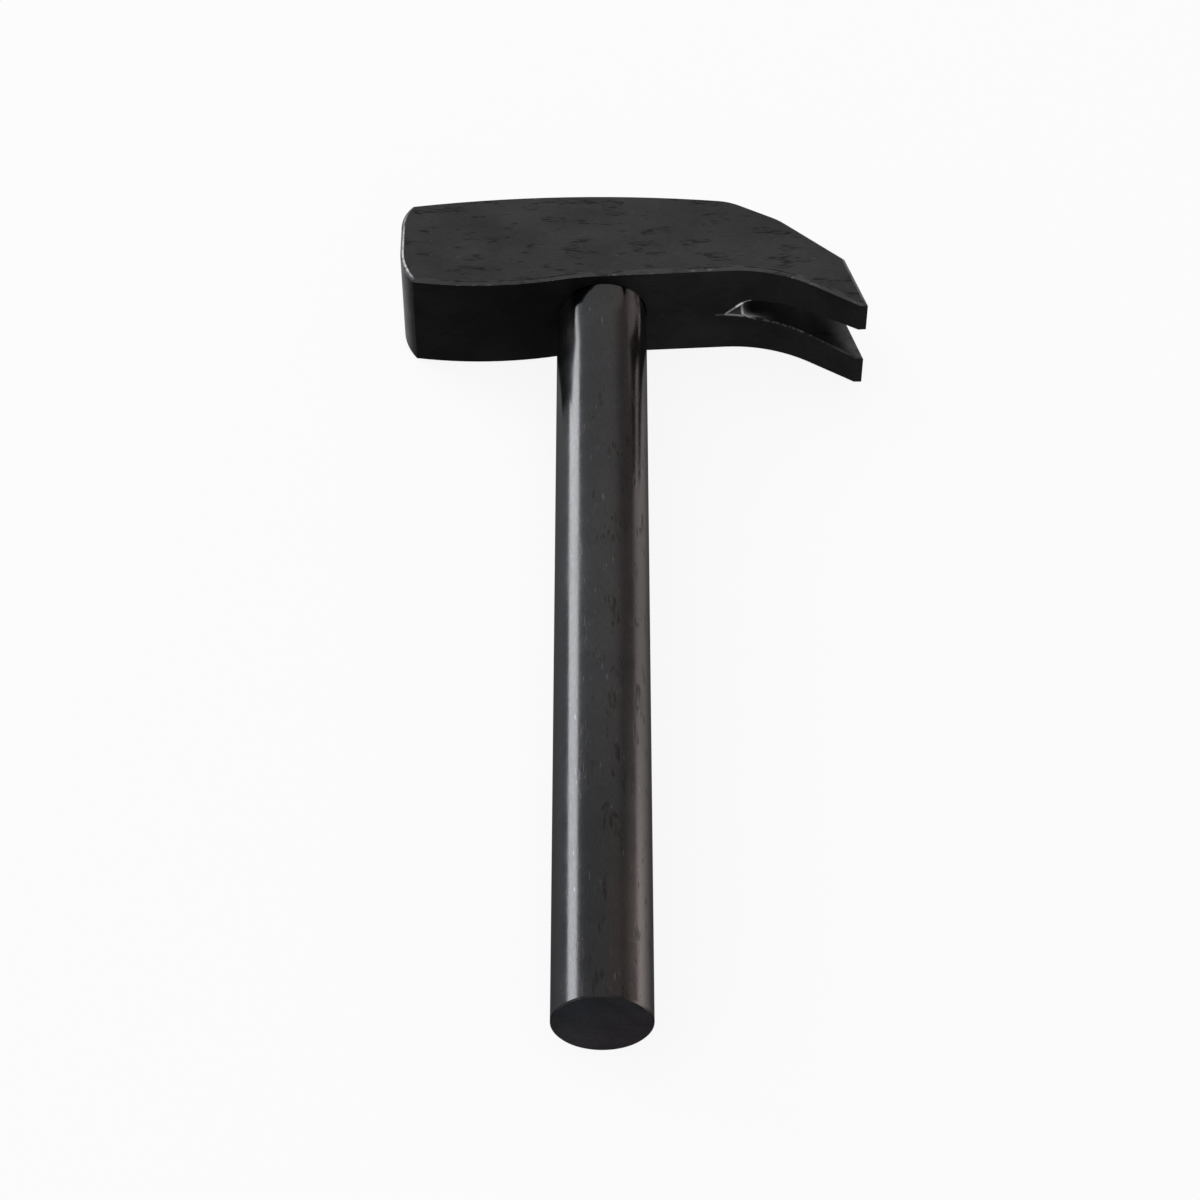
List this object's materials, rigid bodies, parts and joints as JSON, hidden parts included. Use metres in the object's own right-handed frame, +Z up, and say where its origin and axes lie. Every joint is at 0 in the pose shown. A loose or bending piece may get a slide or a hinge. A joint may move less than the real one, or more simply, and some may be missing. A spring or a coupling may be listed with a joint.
{
  "type": "blacksmith hammer",
  "caption": "Blackened steel blacksmith hammer with a flat rounded-end striking face, a split nail claw and a round tubular steel handle.",
  "frame": {"origin": "on the lower cheek, right below the centre of the eye", "axes": "+Z up, square to the cheeks; +Y along the handle from the butt to the crown of the head; +X from the striking face to the claw"},
  "size_m": [0.1655, 0.3357, 0.0422],
  "materials": {
    "head_steel": "forge-blackened, satin, bright worn edges",
    "handle_steel": "blackened, semi-gloss",
    "plug_steel": "turned and lightly blackened",
    "cap_steel": "blackened, satin"
  },
  "bodies": {
    "root": {"hammer_head": "head_steel", "handle_tube": "handle_steel", "expander_plug": "plug_steel", "butt_cap": "cap_steel"}
  },
  "joints": []
}
